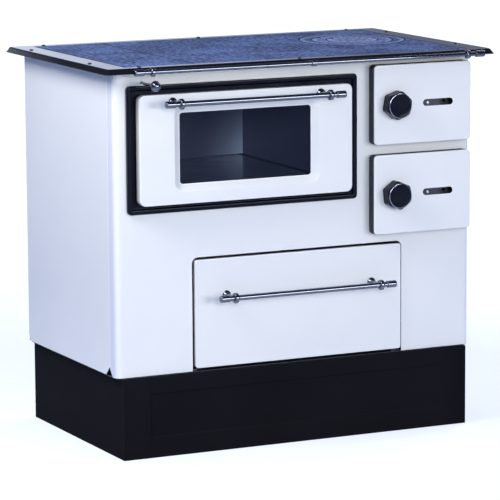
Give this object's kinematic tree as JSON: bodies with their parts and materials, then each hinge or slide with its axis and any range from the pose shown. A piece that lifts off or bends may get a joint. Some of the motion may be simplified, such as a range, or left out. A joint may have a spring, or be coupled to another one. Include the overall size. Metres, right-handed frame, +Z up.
{
  "type": "wood cookstove",
  "caption": "Free-standing enamelled wood cookstove with drop-down glazed oven door, hinged fire and ash doors with turn latches and air sliders, storage drawer, ring hob and front rail.",
  "frame": {"origin": "on the floor, in the middle of the whole object's box", "axes": "+Z up, -Y out of the front with the doors, +X to the right seen from the front"},
  "size_m": [0.938, 0.6436, 0.8541],
  "materials": {
    "white_enamel": "gloss white enamel",
    "black_enamel": "gloss black enamel",
    "hot_plate_iron": "ground, satin",
    "cast_iron": "matt black",
    "black_sheet": "matt heat paint",
    "oven_enamel": "gloss grey enamel",
    "oven_glass": "clear",
    "chrome": "polished",
    "bright_steel": "bright",
    "zinc_sheet": "galvanised sheet",
    "black_knob": "gloss",
    "rope": "braided glass rope",
    "fire_brick": "fired clay"
  },
  "bodies": {
    "stove": {"plinth_front": "black_enamel", "plinth_side_left": "black_enamel", "plinth_side_right": "black_enamel", "plinth_back": "black_enamel", "base_plate": "zinc_sheet", "front_panel": "white_enamel", "side_panel_left": "white_enamel", "side_panel_right": "white_enamel", "back_panel": "zinc_sheet", "top_frame": "black_enamel", "case_screws": "bright_steel", "main_hot_plate": "hot_plate_iron", "left_hot_plate": "hot_plate_iron", "rail_bar": "chrome", "rail_fittings": "chrome", "oven_frame": "black_enamel", "oven_rivets": "bright_steel", "oven_box": "oven_enamel", "oven_floor": "oven_enamel", "hinge_pins": "bright_steel", "damper_guides": "bright_steel", "channel_floor": "zinc_sheet", "rear_partition": "zinc_sheet", "flue_collar": "cast_iron", "firebox_front": "cast_iron", "firebox_shell": "black_sheet", "grate_bed": "cast_iron", "fire_grate": "cast_iron", "fire_bricks": "fire_brick", "ash_pan": "zinc_sheet", "drawer_runners": "zinc_sheet"},
    "oven_door": {"oven_door_panel": "white_enamel", "oven_door_glass": "oven_glass", "oven_door_inner": "zinc_sheet", "oven_door_seal": "rope", "oven_door_knuckles": "cast_iron", "oven_handle_bar": "chrome", "oven_handle_fittings": "chrome"},
    "drawer": {"drawer_front": "white_enamel", "drawer_box": "zinc_sheet", "drawer_handle_bar": "chrome", "drawer_handle_fittings": "chrome"},
    "fire_door": {"fire_door_face": "white_enamel", "fire_door_casting": "cast_iron", "fire_door_liner": "cast_iron", "fire_door_rope": "rope"},
    "ash_door": {"ash_door_face": "white_enamel", "ash_door_casting": "cast_iron", "ash_door_liner": "cast_iron", "ash_door_rope": "rope"},
    "fire_knob": {"fire_door_knob": "black_knob", "fire_door_latch": "bright_steel"},
    "ash_knob": {"ash_door_knob": "black_knob", "ash_door_latch": "bright_steel"},
    "fire_slider": {"fire_air_slider": "bright_steel"},
    "ash_slider": {"ash_air_slider": "bright_steel"},
    "ring_outer": {"hob_ring_outer": "hot_plate_iron"},
    "ring_inner": {"hob_ring_inner": "hot_plate_iron"},
    "ring_lid": {"hob_lid": "hot_plate_iron"},
    "damper": {"damper_rod": "chrome"}
  },
  "joints": [
    {"name": "oven_door_hinge", "type": "hinge", "parent": "stove", "child": "oven_door", "pos_m": [-0.13, -0.2432, 0.558], "axis": [1, 0, 0], "range_deg": [0, 90]},
    {"name": "fire_door_hinge", "type": "hinge", "parent": "stove", "child": "fire_door", "pos_m": [0.408, -0.2402, 0.73675], "axis": [0, 0, 1], "range_deg": [0, 95]},
    {"name": "ash_door_hinge", "type": "hinge", "parent": "stove", "child": "ash_door", "pos_m": [0.408, -0.2402, 0.53825], "axis": [0, 0, 1], "range_deg": [0, 95]},
    {"name": "fire_knob_turn", "type": "hinge", "parent": "fire_door", "child": "fire_knob", "pos_m": [0.225, -0.2597, 0.73675], "axis": [0, -1, 0], "range_deg": [0, 90]},
    {"name": "ash_knob_turn", "type": "hinge", "parent": "ash_door", "child": "ash_knob", "pos_m": [0.225, -0.2597, 0.53825], "axis": [0, -1, 0], "range_deg": [0, 90]},
    {"name": "fire_slider_slide", "type": "slide", "parent": "fire_door", "child": "fire_slider", "axis": [1, 0, 0], "range_m": [0, 0.045]},
    {"name": "ash_slider_slide", "type": "slide", "parent": "ash_door", "child": "ash_slider", "axis": [1, 0, 0], "range_m": [0, 0.045]},
    {"name": "drawer_slide", "type": "slide", "parent": "stove", "child": "drawer", "axis": [0, -1, 0], "range_m": [0, 0.38]},
    {"name": "damper_slide", "type": "slide", "parent": "stove", "child": "damper", "axis": [0, 1, 0], "range_m": [0, 0.05]},
    {"name": "ring_outer_lift", "type": "slide", "parent": "stove", "child": "ring_outer", "axis": [0, 0, 1], "range_m": [0, 0.1]},
    {"name": "ring_inner_lift", "type": "slide", "parent": "ring_outer", "child": "ring_inner", "axis": [0, 0, 1], "range_m": [0, 0.1]},
    {"name": "ring_lid_lift", "type": "slide", "parent": "ring_inner", "child": "ring_lid", "axis": [0, 0, 1], "range_m": [0, 0.1]}
  ]
}
